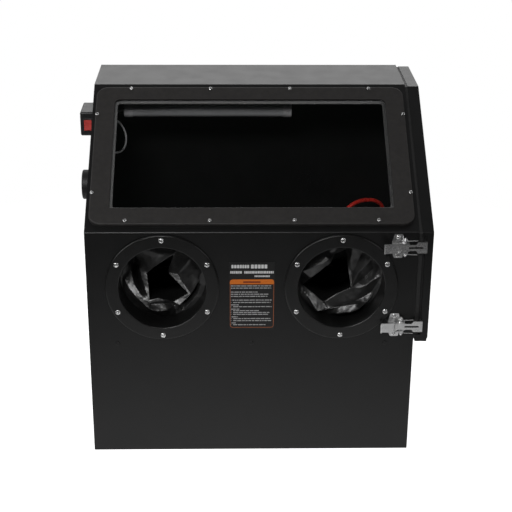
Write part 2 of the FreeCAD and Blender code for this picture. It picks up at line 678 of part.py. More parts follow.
# ---- extraction port, vent and air inlet ----
def ports():
    y, z = SUCTION_PORT
    bore = SUCTION_PORT_BORE_R
    out = -X_SIDE
    sleeve = rod((out, y, z), (out + 20, y, z), bore + 3)
    flange = rod((out - 2.5, y, z), (out, y, z), 28)
    body = fuse([sleeve, flange]).cut(rod((out - 9, y, z), (out + 30, y, z), bore))
    save("extraction_port", body)

    face = rod((out - 13.5, y, z), (out - 2.8, y, z), 26.5)
    outer = [e for e in face.Edges if e.Closed and abs(e.CenterOfMass.x - (out - 13.5)) < 1e-6]
    face = face.makeFillet(2.5, outer)
    plug = rod((out - 2.8, y, z), (out + 10, y, z), bore - RUNNING_GAP)
    hollow = rod((out - 6, y, z), (out + 11, y, z), bore - 3)
    save("port_cap", fuse([face, plug]).cut(hollow))

    disc = rod((0, Y_BACK, VENT_Z), (0, Y_BACK + 2, VENT_Z), VENT_R + 12)
    slots = []
    for row in range(-3, 4):
        half = (VENT_R ** 2 - (row * 9.0) ** 2) ** 0.5 - 4
        height = VENT_Z + row * 9
        slots.append(box(-half, half, Y_BACK - 1, Y_BACK + 9, height - 2, height + 2))
    save("vent_grille", cut(disc, slots))

    x = AIR_X
    stem = rod((x, Y_BACK - 16, AIR_Z), (x, AIR_STUB_END, AIR_Z), AIR_THREAD_R)
    nut = turned(hex_nut(19, 5, AIR_THREAD_R - 1), (0, 0, 0), X_DIR, -90)
    outside = moved(nut, x, Y_BACK + 5, AIR_Z)
    inside = moved(nut, x, Y_BACK - SHEET, AIR_Z)
    hx, hy, hz = AIR_HOSE_ROUTE[0]
    block = box(x - 8, hx + 6, hy - 7, hy + 7, AIR_Z - 8, AIR_Z + 8)
    riser = rod((hx, hy, AIR_Z), (hx, hy, hz), 5.5)
    bulkhead = fuse([stem, outside, inside, block, riser])
    bores = [rod((x, hy, AIR_Z), (x, Y_BACK + 30, AIR_Z), 3.0), rod((x, hy, AIR_Z), (hx, hy, AIR_Z), 2.0),
             rod((hx, hy, AIR_Z), (hx, hy, hz + 1), 2.0)]
    save("air_bulkhead", cut(bulkhead, bores))


# ---- blast gun and hoses ----
def gun():
    y, z = GUN_Y, GUN_Z
    barrel = rod((-54, y, z), (34, y, z), GUN_BARREL_R)
    grip = box(8, 32, y + 4, 34, z - 11, z + 11)
    grip = grip.makeFillet(6, [e for e in grip.Edges if e.BoundBox.YLength > 20])
    cheeks = [box(-9, 6, y + 8, -42, z + a, z + a + 3) for a in (6, -9)]
    body = fuse([barrel, grip] + cheeks)
    pivot_hole = rod((*TRIGGER_PIN, z - 12), (*TRIGGER_PIN, z + 12), 1.5)
    chamber = rod((-60, y, z), (20, y, z), 7.0)
    gap = box(-12, 7.9, y + 14.2, -30, z - 6, z + 6)
    save("gun_body", cut(body, [pivot_hole, chamber, gap]))

    save("gun_nozzle_nut", pipe((-70, y, z), (-54, y, z), 12.5, 6.0))
    save("gun_nozzle", pipe((-94, y, z), (-54, y, z), 6.0, 3.0))
    save("trigger_pin", rod((*TRIGGER_PIN, z - 9.5), (*TRIGGER_PIN, z + 9.5), 1.5))
    hub = rod((*TRIGGER_PIN, z - 5.5), (*TRIGGER_PIN, z + 5.5), 4.5)
    arm = extruded([(-6.4, -50, z - 5.5), (1.5, -46, z - 5.5), (-3.5, -20, z - 5.5),
                    (-4, 4, z - 5.5), (-9, 8, z - 5.5), (-8.5, -20, z - 5.5)],
                   [0, 0, 20, 1, 2, 20], (0, 0, 11))
    trigger = hub.fuse(arm).removeSplitter()
    bore = rod((*TRIGGER_PIN, z - 9), (*TRIGGER_PIN, z + 9), 1.5 + RUNNING_GAP)
    save("gun_trigger", trigger.cut(bore))

    air_end = AIR_HOSE_ROUTE[-1]
    suction_end = SUCTION_HOSE_ROUTE[0]
    ferrules = [
        pipe((GRIP_X, 34, z), air_end, 5.6, 2.0),
        pipe((34, y, z), suction_end, 6.8, 3.5),
    ]
    save("hose_ferrules", Part.makeCompound(ferrules))


def hoses():
    save("air_hose", tube_along(AIR_HOSE_ROUTE, AIR_HOSE_R))
    save("suction_hose", tube_along(SUCTION_HOSE_ROUTE, SUCTION_HOSE_R))
    x, y, z = SUCTION_HOSE_ROUTE[-1]
    bend_r = 20.0
    top = PICKUP_Y - bend_r
    edges = [
        Part.LineSegment(V(x, y, z), V(x, top, z)).toShape(),
        Part.Arc(V(x, top, z), V(x, top + bend_r * sin(pi / 4), z - bend_r * (1 - cos(pi / 4))),
                 V(x, PICKUP_Y, z - bend_r)).toShape(),
        Part.LineSegment(V(x, PICKUP_Y, z - bend_r), V(x, PICKUP_Y, PICKUP_LOW)).toShape(),
    ]
    outer, inner = [
        Part.Wire(edges).makePipeShell([Part.Wire(Part.Circle(V(x, y, z), Y_DIR, r).toShape())], True, False)
        for r in (PICKUP_R, PICKUP_R - 1.5)
    ]
    save("pickup_tube", outer.cut(inner))


# ---- door ----
def door_outline(inset, low):
    return side_corners(inset, inset + DOOR_SLOPE_GAP, inset + DOOR_TOP_GAP, inset, low)


def door():
    skin = side_prism(door_outline(0, SKIN_LOW), DOOR_OUT - SHEET, DOOR_OUT, FOLD_R, 2)
    save("door_skin", skin)

    skin_x = DOOR_OUT - SHEET
    rim = side_prism(door_outline(0, DOOR_LOW), DOOR_IN, skin_x, FOLD_R, 2)
    rim = rim.cut(side_prism(door_outline(SHEET, DOOR_LOW + SHEET), DOOR_IN - 1, skin_x + 1,
                             FOLD_R - SHEET, 0.5))
    land = side_prism(door_outline(SHEET, DOOR_LOW + SHEET), skin_x - SHEET, skin_x, FOLD_R - SHEET)
    land = land.cut(side_prism(door_outline(16, DOOR_LOW + 16), 0, 900, 6, 6))
    step_low = DOOR_LOW + 14
    step_high = FRONT_HEIGHT - 8
    step = box(0, DOOR_STEP, Y_FRONT - 1, Y_FRONT + SHEET, step_low, step_high)
    lip = box(DOOR_STEP, DOOR_STEP + SHEET, Y_FRONT + SHEET, Y_FRONT + 20, step_low, step_high)
    foot = box(DOOR_IN - 2.5, DOOR_IN, Y_FRONT, Y_BACK, DOOR_LOW, DOOR_LOW + SHEET)
    foot = foot.fuse(box(DOOR_IN - 2.5, DOOR_IN, Y_FRONT, Y_FRONT + SHEET, DOOR_LOW, step_low))
    corner = extruded([(DOOR_IN - 3, Y_FRONT - 1, DOOR_LOW - 1), (DOOR_IN + 1.5, Y_FRONT - 1, DOOR_LOW - 1),
                       (DOOR_IN - 3, Y_FRONT - 1, DOOR_LOW + 4)], [0] * 3, (0, 3, 0))
    frame = fuse([rim.cut(step), land, lip, foot]).cut(corner)
    save("door_frame", frame)

    wall_gap = 0.4
    x0 = X_SIDE + wall_gap
    bulb = side_prism(door_outline(1.0, DOOR_LOW + 6), x0, DOOR_IN, FOLD_R - 0.5, 2)
    bulb = bulb.cut(side_prism(door_outline(7, DOOR_LOW + 12), 0, 900, 2, 2))
    front = box(DOOR_IN, DOOR_IN + 2, Y_FRONT + 1, Y_FRONT + 7, step_low + 0.5, step_high - 0.5)
    stem = box(DOOR_IN + 2, DOOR_STEP, Y_FRONT + 5.2, Y_FRONT + 7, step_low + 0.5, step_high - 0.5)
    toe = box(0, 900, Y_FRONT - 9, Y_FRONT + SHEET, 0, step_low)
    save("door_seal", fuse([bulb, front, stem]).cut(toe))

    keepers = []
    for z in LATCH_ZS.values():
        tab = box(DOOR_STEP - 1.6, DOOR_STEP, Y_FRONT - 7, Y_FRONT + 4.8, z - 8, z + 8)
        tip = [e for e in tab.Edges if e.BoundBox.YMax < Y_FRONT - 6 and e.BoundBox.XLength > 1]
        keepers.append(tab.makeFillet(3, tip))
    save("door_keepers", Part.makeCompound(keepers))


def hinges():
    """Two butt hinges on the back: three knuckles each, the middle one on the door leaf."""
    knuckle_r = 4.0
    pin_r = 2.0
    tall = 19.0
    gap = 0.3
    axis = (HINGE_X, HINGE_Y)
    fixed = []
    swung = []
    pins = []
    for middle in HINGE_ZS:
        def barrel(low, high, radius):
            return rod((*axis, low), (*axis, high), radius)
        low = middle - 1.5 * tall
        high = middle + 1.5 * tall
        door_low = middle - tall / 2
        door_high = middle + tall / 2
        clear = barrel(door_low - gap, door_high + gap, knuckle_r + 0.4)
        leaf = plate(HINGE_X - 32, HINGE_X, low, high, 0, SHEET, 3)
        leaf = turned(leaf, (0, 0, 0), X_DIR, 90)
        leaf = moved(leaf, 0, Y_BACK + SHEET, 0)
        leaf = leaf.fuse(barrel(low, high, knuckle_r)).cut(clear)
        fixed.append(leaf.cut(barrel(low - 1, high + 1, pin_r)))

        leaf = box(HINGE_X, DOOR_OUT - 3, Y_BACK, Y_BACK + SHEET, low, high)
        for a, b in ((low - 1, door_low + gap), (door_high - gap, high + 1)):
            leaf = leaf.cut(barrel(a, b, knuckle_r + 0.4))
        leaf = leaf.fuse(barrel(door_low + gap, door_high - gap, knuckle_r))
        swung.append(leaf.cut(barrel(low - 1, high + 1, pin_r + RUNNING_GAP)).removeSplitter())
        pins.append(fuse([barrel(low - 0.5, high + 0.5, pin_r), barrel(high, high + 2, 3.0)]))
    save("hinge_leaves_cabinet", Part.makeCompound(fixed))
    save("hinge_leaves_door", Part.makeCompound(swung))
    save("hinge_pins", Part.makeCompound(pins))


# ---- toggle latches ----
def latch_base(z):
    """Foot plate with two screw ears, two uprights and the riveted pin that the lever turns on."""
    foot = extruded([(247, z - 22.3, 0), (262, z - 22.3, 0), (264, z - 9, 0), (273, z - 9, 0),
                     (273, z + 9, 0), (264, z + 9, 0), (262, z + 22.3, 0), (247, z + 22.3, 0),
                     (243, z + 9, 0), (243, z - 9, 0)],
                    [3, 3, 2, 2, 2, 2, 3, 3, 4, 4], (0, 0, SHEET))
    foot = on_front(foot)
    pin_x, pin_y = LATCH_PIN
    uprights = []
    for low in (z - 10.5, z + 9.0):
        outline = [(pin_x - 5, Y_FRONT - 0.5, low), (pin_x - 5, pin_y - 5, low),
                   (pin_x + 5, pin_y - 5, low), (pin_x + 5, Y_FRONT - 0.5, low)]
        uprights.append(extruded(outline, [0, 4.5, 4.5, 0], (0, 0, 1.5)))
    pin = rod((pin_x, pin_y, z - 18), (pin_x, pin_y, z + 18), 1.5)
    return cut(fuse([foot, pin] + uprights), latch_shanks())


def latch_lever(z):
    """Channel-shaped handle with the claw's riveted pin between its two walls."""
    web_end = 252.0
    tip = 228.0
    web = box(tip + LEVER_CURL_R, web_end, LEVER_FRONT, LEVER_FRONT + LEVER_WALL, z - LEVER_HALF, z + LEVER_HALF)
    curl_x = tip + LEVER_CURL_R
    curl_y = LATCH_FRONT + LEVER_CURL_R
    curl = pipe((curl_x, curl_y, z - LEVER_HALF), (curl_x, curl_y, z + LEVER_HALF),
                LEVER_CURL_R, LEVER_CURL_R - LEVER_WALL)
    curl = curl.cut(box(curl_x, 900, -900, 900, 0, 900))
    pin_x, pin_y = LATCH_PIN
    walls = []
    for side in (-1, 1):
        low = z - LEVER_HALF if side < 0 else z + LEVER_HALF - LEVER_WALL
        outline = [(tip + 8, LEVER_FRONT, low), (web_end, LEVER_FRONT, low),
                   (pin_x + 3.5, pin_y - 5.5, low), (pin_x + 3.6, pin_y + 3.4, low),
                   (pin_x - 4, pin_y + 3.4, low), (tip + 20, LEVER_FRONT + 6, low)]
        walls.append(extruded(outline, [0, 3, 3, 3, 3, 3], (0, 0, LEVER_WALL)))
    pin = rod((*CLAW_PIN, z - LEVER_HALF - 0.2), (*CLAW_PIN, z + LEVER_HALF + 0.2), 1.25)
    bore = rod((pin_x, pin_y, z - 30), (pin_x, pin_y, z + 30), 1.5 + RUNNING_GAP)
    return fuse([web, curl, pin] + walls).cut(bore)


def latch_claw(z):
    """Slotted plate with a rolled eye at one end and a hook at the other."""
    eye_x, eye_y = CLAW_PIN
    end = CLAW_HOOK_X + CLAW_THICK
    half = 7.2
    outline = [(eye_x + 1, z - 6, 0), (eye_x + 1, z + 6, 0), (270, z + half, 0), (274, z + 5.6, 0),
               (284, z + 5.6, 0), (287.5, z + 10.25, 0), (end, z + 10.25, 0), (end, z - 10.25, 0),
               (287.5, z - 10.25, 0), (284, z - 5.6, 0), (274, z - 5.6, 0), (270, z - half, 0)]
    blank = extruded(outline, [0, 0, 1, 3, 2, 1, 1, 1, 1, 2, 3, 1], (0, 0, CLAW_THICK))
    slot = plate(271, 297, z - 1.6, z + 1.6, -9, 9, 1.55)
    blank = on_front(moved(blank.cut(slot), 0, 0, 0))
    middle = eye_y - CLAW_THICK / 2
    blank = moved(blank, 0, middle - Y_FRONT + CLAW_THICK, 0)
    hook = box(CLAW_HOOK_X, end, middle, Y_FRONT - 2.4, z - 10.25, z + 10.25)
    eye = rod((eye_x, eye_y, z - 6), (eye_x, eye_y, z + 6), 2.6)
    claw = fuse([blank, hook, eye])
    outer = [e for e in claw.Edges if abs(e.BoundBox.XMin - end) < 1e-6 and abs(e.BoundBox.XMax - end) < 1e-6
             and e.BoundBox.YMax < middle + 0.1]
    claw = claw.makeFillet(1.2, outer)
    return claw.cut(rod((eye_x, eye_y, z - 9), (eye_x, eye_y, z + 9), 1.25 + RUNNING_GAP))


def latch_springs(z):
    """A coil on each end of the pin, with an arm that runs towards the hook."""
    pin_x, pin_y = LATCH_PIN
    wire = 0.75
    springs = []
    for side in (-1, 1):
        turns = [
            Part.makeTorus(1.6 + wire, wire, V(pin_x, pin_y, z + side * (11.6 + wire + i * 1.5)))
            for i in range(3)
        ]
        mid = z + side * (11.6 + wire)
        coil = pipe((pin_x, pin_y, mid), (pin_x, pin_y, mid + side * 3), 1.6 + 2 * wire - 0.3, 1.6 + 0.2)
        front = pin_y - 1.6 - wire
        arm = rod((pin_x, front, mid), (pin_x + 21, front, z + side * 13.2), wire)
        springs.append(fuse([coil, arm] + turns))
    return springs


def latches():
    bases = []
    springs = []
    for name, z in LATCH_ZS.items():
        bases.append(latch_base(z))
        springs += latch_springs(z)
        save("latch_lever_" + name, latch_lever(z))
        save("latch_claw_" + name, latch_claw(z))
    save("latch_bases", Part.makeCompound(bases))
    save("latch_springs", Part.makeCompound(springs))
    screw = pan_screw(3.8, 2.2, 2.0, SHEET + 5)
    save("latch_screws", Part.makeCompound([on_front(moved(screw, x, z, SHEET)) for x, z in LATCH_SCREWS]))


os.makedirs("parts", exist_ok=True)
body_panels()
side_panels()
hopper()
ledges_and_grate()
window()
glove_ports()
nuts()
label()
lamp()
switch_box()
ports()
gun()
hoses()
door()
hinges()
latches()
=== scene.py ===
"""Looks of the bench-top sandblast cabinet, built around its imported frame.

Metres, in the frame of the part: X to the right, Y to the back, Z up.
"""
import random
from math import cos, pi, radians, sin

import bmesh
import bpy
from mathutils import Matrix, Vector, geometry, noise


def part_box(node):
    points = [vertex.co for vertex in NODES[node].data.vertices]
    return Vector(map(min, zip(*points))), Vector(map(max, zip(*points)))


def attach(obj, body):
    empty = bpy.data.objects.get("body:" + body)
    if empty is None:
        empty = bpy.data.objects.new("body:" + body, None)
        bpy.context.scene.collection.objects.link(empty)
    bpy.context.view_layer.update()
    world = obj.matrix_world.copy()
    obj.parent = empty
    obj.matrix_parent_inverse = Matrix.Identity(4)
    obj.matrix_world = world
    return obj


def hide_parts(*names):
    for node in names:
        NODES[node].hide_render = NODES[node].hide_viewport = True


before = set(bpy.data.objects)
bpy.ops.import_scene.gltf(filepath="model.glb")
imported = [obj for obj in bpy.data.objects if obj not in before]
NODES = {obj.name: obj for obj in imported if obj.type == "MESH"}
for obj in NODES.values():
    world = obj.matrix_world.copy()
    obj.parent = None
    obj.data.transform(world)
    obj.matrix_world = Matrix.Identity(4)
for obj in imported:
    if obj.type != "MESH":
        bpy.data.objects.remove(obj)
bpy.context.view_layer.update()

MM = 0.001
scene = bpy.context.scene
scene.view_settings.view_transform = "Standard"

# ---- places read from the frame ----
FRONT_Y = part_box("glove_ring_left")[0].y
RING_LOW, RING_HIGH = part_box("glove_ring_left")
PORT_X = -(RING_LOW.x + RING_HIGH.x) / 2
PORT_Z = (RING_LOW.z + RING_HIGH.z) / 2
PANEL_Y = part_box("label_plate")[1].y


# ---- small tools ----
def link(piece):
    scene.collection.objects.link(piece)
    return piece


def mesh_piece(name, bm, materials):
    mesh = bpy.data.meshes.new(name)
    bm.to_mesh(mesh)
    bm.free()
    for material in materials:
        mesh.materials.append(material)
    return link(bpy.data.objects.new(name, mesh))


class Look:
    """A Principled material with a few procedural layers, in the object's own metres."""

    def __init__(self, name, colour, roughness, metallic=0.0, **sockets):
        self.material = bpy.data.materials.new(name)
        self.material.use_nodes = True
        self.tree = self.material.node_tree
        self.shader = self.tree.nodes["Principled BSDF"]
        self.shader.inputs["Base Color"].default_value = (*colour, 1)
        self.shader.inputs["Roughness"].default_value = roughness
        self.shader.inputs["Metallic"].default_value = metallic
        for socket, value in sockets.items():
            self.shader.inputs[socket.replace("_", " ")].default_value = value
        self.place = self.node("ShaderNodeTexCoord").outputs["Object"]
        self.normal = None

    def node(self, kind, **settings):
        made = self.tree.nodes.new(kind)
        for key, value in settings.items():
            setattr(made, key, value)
        return made

    def wire(self, source, target):
        self.tree.links.new(source, target)
        return self

    def stretched(self, scale):
        mapping = self.node("ShaderNodeMapping")
        mapping.inputs["Scale"].default_value = scale
        self.wire(self.place, mapping.inputs["Vector"])
        return mapping.outputs["Vector"]

    def noise(self, size, detail=2.0, stretch=None):
        """Noise whose blobs are about size metres across."""
        texture = self.node("ShaderNodeTexNoise")
        texture.inputs["Scale"].default_value = 1 / size
        texture.inputs["Detail"].default_value = detail
        self.wire(self.stretched(stretch) if stretch else self.place, texture.inputs["Vector"])
        return texture.outputs["Fac"]

    def cells(self, size):
        texture = self.node("ShaderNodeTexVoronoi")
        texture.inputs["Scale"].default_value = 1 / size
        self.wire(self.place, texture.inputs["Vector"])
        return texture.outputs["Distance"]

    def waves(self, size, axis, distortion=0.0):
        texture = self.node("ShaderNodeTexWave", bands_direction=axis)
        texture.inputs["Scale"].default_value = 1 / size / pi
        texture.inputs["Distortion"].default_value = distortion
        self.wire(self.place, texture.inputs["Vector"])
        return texture.outputs["Fac"]

    def between(self, value, low, high, out_low, out_high):
        """The value, stretched from low..high to out_low..out_high and held there."""
        node = self.node("ShaderNodeMapRange")
        sockets = ("From Min", "From Max", "To Min", "To Max")
        for socket, number in zip(sockets, (low, high, out_low, out_high)):
            node.inputs[socket].default_value = number
        self.wire(value, node.inputs["Value"])
        return node.outputs["Result"]

    def colours(self, value, low, high, first, second):
        """Colour the surface from first to second as the value goes from low to high."""
        ramp = self.node("ShaderNodeValToRGB")
        ramp.color_ramp.elements[0].position = low
        ramp.color_ramp.elements[1].position = high
        ramp.color_ramp.elements[0].color = (*first, 1)
        ramp.color_ramp.elements[1].color = (*second, 1)
        self.wire(value, ramp.inputs["Fac"])
        self.wire(ramp.outputs["Color"], self.shader.inputs["Base Color"])
        return self

    def rough(self, value, low, high, out_low, out_high):
        return self.wire(self.between(value, low, high, out_low, out_high), self.shader.inputs["Roughness"])

    def bump(self, height, depth, strength=1.0):
        """Relief of depth metres; several calls lie on each other."""
        node = self.node("ShaderNodeBump")
        node.inputs["Distance"].default_value = depth
        node.inputs["Strength"].default_value = strength
        self.wire(height, node.inputs["Height"])
        if self.normal:
            self.wire(self.normal, node.inputs["Normal"])
        self.normal = node.outputs["Normal"]
        return self.wire(self.normal, self.shader.inputs["Normal"])


# ---- materials ----
def powder_coat(name, colour, roughness, grain=1.0):
    """Sprayed and baked coat: fine orange peel over a slow unevenness of gloss."""
    look = Look(name, colour, roughness)
    slow = look.noise(60 * MM, 3)
    bright = [c * 1.25 for c in colour]
    look.colours(slow, 0.35, 0.7, colour, bright)
    look.rough(look.noise(34 * MM, 3), 0.3, 0.7, roughness - 0.02, roughness + 0.03)
    look.bump(look.noise(1.6 * MM, 2), 0.05 * MM * grain, 0.5)
    look.bump(look.noise(0.45 * MM, 1), 0.02 * MM * grain, 0.5)
    return look.material


def moulded(name, colour, roughness, grain=0.5):
    """Moulded plastic with a sparked texture."""
    look = Look(name, colour, roughness)
    look.colours(look.noise(9 * MM, 5), 0.3, 0.75, [c * 0.8 for c in colour], [c * 1.2 for c in colour])
    look.rough(look.noise(14 * MM, 3), 0.3, 0.7, roughness - 0.03, roughness + 0.05)
    look.bump(look.cells(grain * MM), 0.03 * MM, 0.6)
    return look.material


def zinc(name, roughness=0.24, stretch=(1, 1, 1)):
    """Bright zinc plate: a fine drawn grain, small stains and handling marks."""
    look = Look(name, (0.78, 0.78, 0.79), roughness, metallic=1.0)
    stain = look.noise(7 * MM, 4)
    look.colours(stain, 0.3, 0.75, (0.8, 0.8, 0.81), (0.96, 0.96, 0.95))
    look.rough(look.noise(1.2 * MM, 4, stretch), 0.3, 0.75, roughness - 0.08, roughness + 0.14)
    look.bump(look.noise(0.6 * MM, 3, stretch), 0.012 * MM, 0.6)
    return look.material


def brass():
    """Machined brass with fine turning marks and a dull film."""
    look = Look("machined_brass", (0.72, 0.52, 0.22), 0.28, metallic=1.0)
    look.colours(look.noise(5 * MM, 4), 0.3, 0.75, (0.55, 0.38, 0.16), (0.8, 0.6, 0.28))
    look.rough(look.noise(1.5 * MM, 3), 0.3, 0.7, 0.2, 0.42)
    look.bump(look.waves(0.35 * MM, "Y", 1.0), 0.01 * MM, 0.5)
    return look.material


def cast_alloy():
    """Cast alloy of the gun, rough from the mould."""
    look = Look("cast_alloy", (0.5, 0.51, 0.53), 0.45, metallic=1.0)
    look.colours(look.noise(11 * MM, 4), 0.3, 0.75, (0.36, 0.37, 0.39), (0.6, 0.61, 0.62))
    look.bump(look.noise(1.1 * MM, 4), 0.08 * MM, 0.6)
    look.rough(look.noise(3 * MM, 3), 0.3, 0.7, 0.36, 0.58)
    return look.material


def ceramic():
    """Off-white ceramic, stained by abrasive."""
    look = Look("nozzle_ceramic", (0.8, 0.78, 0.73), 0.6)
    look.colours(look.noise(3 * MM, 4), 0.35, 0.8, (0.85, 0.83, 0.78), (0.62, 0.59, 0.55))
    look.bump(look.noise(0.5 * MM, 2), 0.02 * MM, 0.6)
    return look.material


def window_pane():
    """Clear safety glass with a trace of green and a thin film of dust."""
    look = Look("window_pane", (0.07, 0.08, 0.075), 0.03)
    look.shader.inputs["IOR"].default_value = 1.5
    dust = look.noise(4 * MM, 8)
    look.wire(look.between(dust, 0.5, 0.95, 0.012, 0.03), look.shader.inputs["Alpha"])
    look.rough(look.noise(18 * MM, 4), 0.4, 0.8, 0.02, 0.08)
    return look.material


def gasket():
    """Grey foam strip with specks of blasting dust on it."""
    look = Look("gasket_foam", (0.05, 0.05, 0.05), 0.7)
    look.colours(look.noise(2.2 * MM, 6), 0.66, 0.74, (0.16, 0.16, 0.16), (0.7, 0.7, 0.7))
    look.bump(look.noise(1.2 * MM, 4), 0.15 * MM, 0.7)
    return look.material


def rubber(name, colour, roughness, grain=1.0):
    """Rubber or soft plastic: uneven gloss over a fine grain."""
    look = Look(name, colour, roughness)
    look.colours(look.noise(8 * MM, 5), 0.3, 0.75, [c * 0.8 for c in colour], [c * 1.25 for c in colour])
    look.rough(look.noise(5 * MM, 3), 0.3, 0.7, roughness - 0.08, roughness + 0.08)
    look.bump(look.noise(grain * MM, 3), 0.05 * MM, 0.6)
    return look.material


def diffuser():
    """Frosted tube of an unlit lamp."""
    look = Look("lamp_diffuser", (0.36, 0.365, 0.375), 0.35)
    look.colours(look.noise(30 * MM, 3, (0.3, 1, 1)), 0.3, 0.7, (0.32, 0.325, 0.335), (0.41, 0.415, 0.425))
    look.bump(look.noise(0.7 * MM, 2), 0.02 * MM, 0.4)
    look.rough(look.noise(12 * MM, 3), 0.3, 0.7, 0.28, 0.42)
    return look.material


def switch_red():
    """Red see-through plastic, with a faint painted glow for light passing through it."""
    look = Look("rocker_red", (0.5, 0.07, 0.062), 0.18, IOR=1.49)
    look.colours(look.noise(7 * MM, 2), 0.3, 0.7, (0.42, 0.058, 0.05), (0.62, 0.085, 0.075))
    look.bump(look.noise(1.8 * MM, 2), 0.02 * MM, 0.3)
    # painted glow: a weak emission that brightens the unlit rocker
    look.shader.inputs["Emission Color"].default_value = (0.6, 0.05, 0.045, 1)
    look.shader.inputs["Emission Strength"].default_value = 0.12
    return look.material


def flat_ink(name, colour, roughness=0.45):
    """Printed ink, a little uneven in tone."""
    look = Look(name, colour, roughness)
    look.colours(look.noise(3 * MM, 3), 0.3, 0.8, colour, [c * 0.86 for c in colour])
    look.bump(look.noise(0.8 * MM, 2), 0.004 * MM, 0.5)
    return look.material


def coated_fabric():
    """Rubberised cotton of the sleeves: a fine weave under a thin coat."""
    look = Look("glove_fabric", (0.02, 0.02, 0.02), 0.36, Specular_IOR_Level=1.0)
    look.colours(look.noise(14 * MM, 5), 0.3, 0.72, (0.014, 0.014, 0.0145), (0.035, 0.035, 0.034))
    look.rough(look.noise(9 * MM, 4), 0.3, 0.7, 0.3, 0.44)
    look.bump(look.noise(5 * MM, 3), 0.5 * MM, 0.5)
    look.bump(look.noise(0.7 * MM, 2), 0.05 * MM, 0.5)
    return look.material


def painted_shade_sleeve():
    """Painted shade: the same sleeve behind the twist made near-black and matt, where the fabric lies in
    shadow.
    """
    look = Look("glove_painted_shade", (0.008, 0.008, 0.008), 0.9, Specular_IOR_Level=0.15)
    look.colours(look.noise(6 * MM, 4), 0.3, 0.72, (0.005, 0.005, 0.005), (0.012, 0.012, 0.012))
    look.bump(look.noise(1.6 * MM, 3), 0.1 * MM)
    return look.material


COAT = powder_coat("black_powder_coat", (0.0032, 0.0032, 0.0033), 0.38)
INNER = powder_coat("inner_coat", (0.006, 0.006, 0.006), 0.6, 1.5)
FRAME_PLASTIC = moulded("frame_plastic", (0.024, 0.022, 0.021), 0.55)
RING_PLASTIC = moulded("ring_plastic", (0.008, 0.008, 0.008), 0.31)
BOX_PLASTIC = moulded("box_plastic", (0.02, 0.02, 0.021), 0.4, 0.4)
CAP_PLASTIC = moulded("cap_plastic", (0.012, 0.012, 0.012), 0.48, 0.6)
LAMP_PLASTIC = moulded("lamp_plastic", (0.48, 0.48, 0.49), 0.4, 0.4)
ZINC = zinc("bright_zinc", 0.24, (1, 1, 6))
SCREW_ZINC = zinc("screw_zinc", 0.2)
SEAL = rubber("seal_rubber", (0.018, 0.018, 0.018), 0.6)
GLOVE_FABRIC = coated_fabric()
GLOVE_PAINTED_SHADE = painted_shade_sleeve()
LEAD_PVC = rubber("lead_pvc", (0.7, 0.7, 0.71), 0.25, 0.6)
HOSE_RED = rubber("hose_red", (0.62, 0.03, 0.02), 0.3, 0.8)
HOSE_BLACK = rubber("hose_black", (0.02, 0.02, 0.02), 0.4)
LABEL_BLACK = flat_ink("label_black", (0.012, 0.012, 0.012), 0.4)

NODE_LOOKS = {
    COAT: ["front_panel", "window_panel", "top_panel", "back_panel", "left_side_panel", "right_side_panel",
           "base_flange", "door_skin", "door_frame", "ledge_rivets", "vent_grille"],
    INNER: ["hopper", "grate_ledges", "work_grate", "lamp_hangers"],
    FRAME_PLASTIC: ["window_frame"],
    RING_PLASTIC: ["glove_ring_left", "glove_ring_right"],
    BOX_PLASTIC: ["switch_box", "switch_bezel", "power_inlet", "lead_gland"],
    CAP_PLASTIC: ["port_cap", "extraction_port", "drain_cap"],
    LAMP_PLASTIC: ["lamp_caps"],
    ZINC: ["latch_bases", "latch_lever_lower", "latch_lever_upper", "latch_claw_lower", "latch_claw_upper",
           "latch_springs", "hinge_leaves_cabinet", "hinge_leaves_door", "hinge_pins", "door_keepers",
           "glove_clamps", "pickup_tube", "gun_nozzle_nut", "trigger_pin"],
    SCREW_ZINC: ["window_screws", "ring_screws", "latch_screws", "panel_nuts"],
    SEAL: ["door_seal"],
    GLOVE_FABRIC: ["glove_left", "glove_right"],
    HOSE_BLACK: ["suction_hose"],
    HOSE_RED: ["air_hose"],
    LEAD_PVC: ["lamp_lead"],
    LABEL_BLACK: ["label_plate"],
    brass(): ["air_bulkhead", "hose_ferrules"],
    cast_alloy(): ["gun_body", "gun_trigger"],
    ceramic(): ["gun_nozzle"],
    window_pane(): ["window_glass"],
    gasket(): ["window_gasket"],
    diffuser(): ["lamp_tube"],
    switch_red(): ["switch_rocker"],
}
for look, names in NODE_LOOKS.items():
    for name in names:
        NODES[name].data.materials.clear()
        NODES[name].data.materials.append(look)


# ---- studio ----
CAMERA_AT = (-0.0407, -2.2572, 1.2661)
CAMERA_YAW = radians(1.3326)
CAMERA_PITCH = radians(23.184)
CAMERA_ROLL = radians(0.3803)
CAMERA_LENS = 89.92
FLOOR_GLOW = 0.35
FLOOR_SOLID = 0.25
FLOOR_RADIUS = 1.25


def add_camera():
    level = cos(CAMERA_PITCH)
    ahead = Vector((sin(CAMERA_YAW) * level, cos(CAMERA_YAW) * level, -sin(CAMERA_PITCH)))
    right = Vector((cos(CAMERA_YAW), -sin(CAMERA_YAW), 0))
    up = right.cross(ahead)
    tilted_right = right * cos(CAMERA_ROLL) + up * sin(CAMERA_ROLL)
    tilted_up = up * cos(CAMERA_ROLL) - right * sin(CAMERA_ROLL)
    data = bpy.data.cameras.new("camera")
    data.lens = CAMERA_LENS
    data.sensor_width = 36
    camera = link(bpy.data.objects.new("camera", data))
    turn = Matrix((tilted_right, tilted_up, -ahead)).transposed()
    camera.matrix_world = Matrix.Translation(CAMERA_AT) @ turn.to_4x4()
    scene.camera = camera


def add_softbox(name, place, target, width, height, power):
    data = bpy.data.lights.new(name, "AREA")
    data.shape = "RECTANGLE"
    data.size = width
    data.size_y = height
    data.energy = power
    light = link(bpy.data.objects.new(name, data))
    light.location = place
    light.rotation_euler = (Vector(target) - Vector(place)).to_track_quat("-Z", "Y").to_euler()


